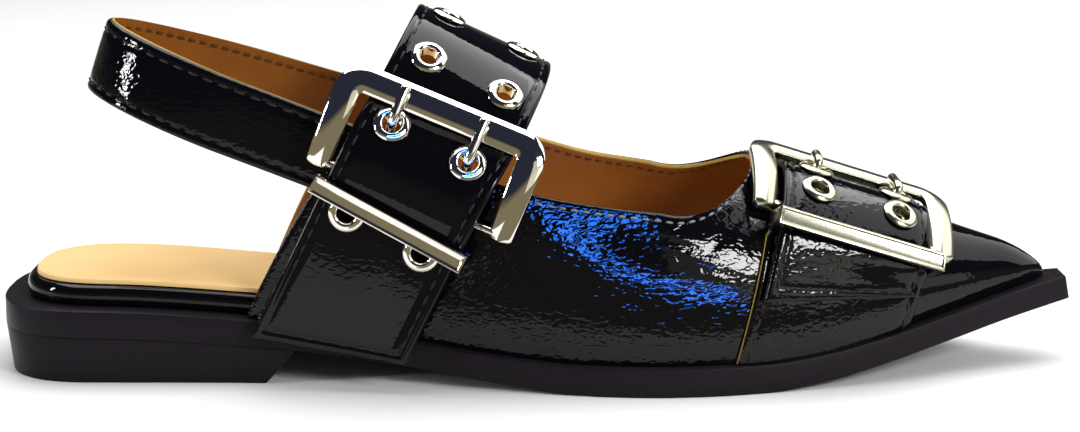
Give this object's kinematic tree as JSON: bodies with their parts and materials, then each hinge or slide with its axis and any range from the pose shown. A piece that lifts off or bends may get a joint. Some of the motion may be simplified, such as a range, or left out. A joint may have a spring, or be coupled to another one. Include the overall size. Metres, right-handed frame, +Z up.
{
  "type": "slingback shoe",
  "caption": "Pointed flat slingback shoe for the right foot, black patent, with buckled straps across the instep and the vamp, eyelets and a low block heel.",
  "frame": {"origin": "centre of the shoe's box, on the floor", "axes": "+X towards the toe, -Y to the lateral side with the buckles, +Z up"},
  "size_m": [0.2712, 0.0818, 0.0908],
  "materials": {
    "patent_black": "crinkled black patent with a high gloss, tan lining and mustard cut edges",
    "rim_black": "smooth glossy black wrap",
    "sole_black": "satin purple-black",
    "insole_tan": "matt pale tan",
    "bright_metal": "polished bright metal with bevelled edges"
  },
  "bodies": {
    "root": {"outsole": "sole_black", "heel": "sole_black", "insole_board": "rim_black", "insole_sock": "insole_tan", "upper": "patent_black", "sling_strap": "patent_black", "instep_strap": "patent_black", "instep_tab": "patent_black", "instep_buckle": "bright_metal", "instep_keeper": "bright_metal", "instep_prong_rear": "bright_metal", "instep_prong_front": "bright_metal", "vamp_strap": "patent_black", "vamp_tab": "patent_black", "vamp_buckle": "bright_metal", "vamp_keeper": "bright_metal", "vamp_prong_rear": "bright_metal", "vamp_prong_front": "bright_metal", "instep_eyelet_1": "bright_metal", "instep_eyelet_2": "bright_metal", "instep_eyelet_3": "bright_metal", "instep_eyelet_4": "bright_metal", "instep_eyelet_5": "bright_metal", "instep_eyelet_6": "bright_metal", "instep_eyelet_7": "bright_metal", "instep_eyelet_8": "bright_metal", "vamp_eyelet_1": "bright_metal", "vamp_eyelet_2": "bright_metal", "vamp_eyelet_3": "bright_metal", "vamp_eyelet_4": "bright_metal"}
  },
  "joints": []
}
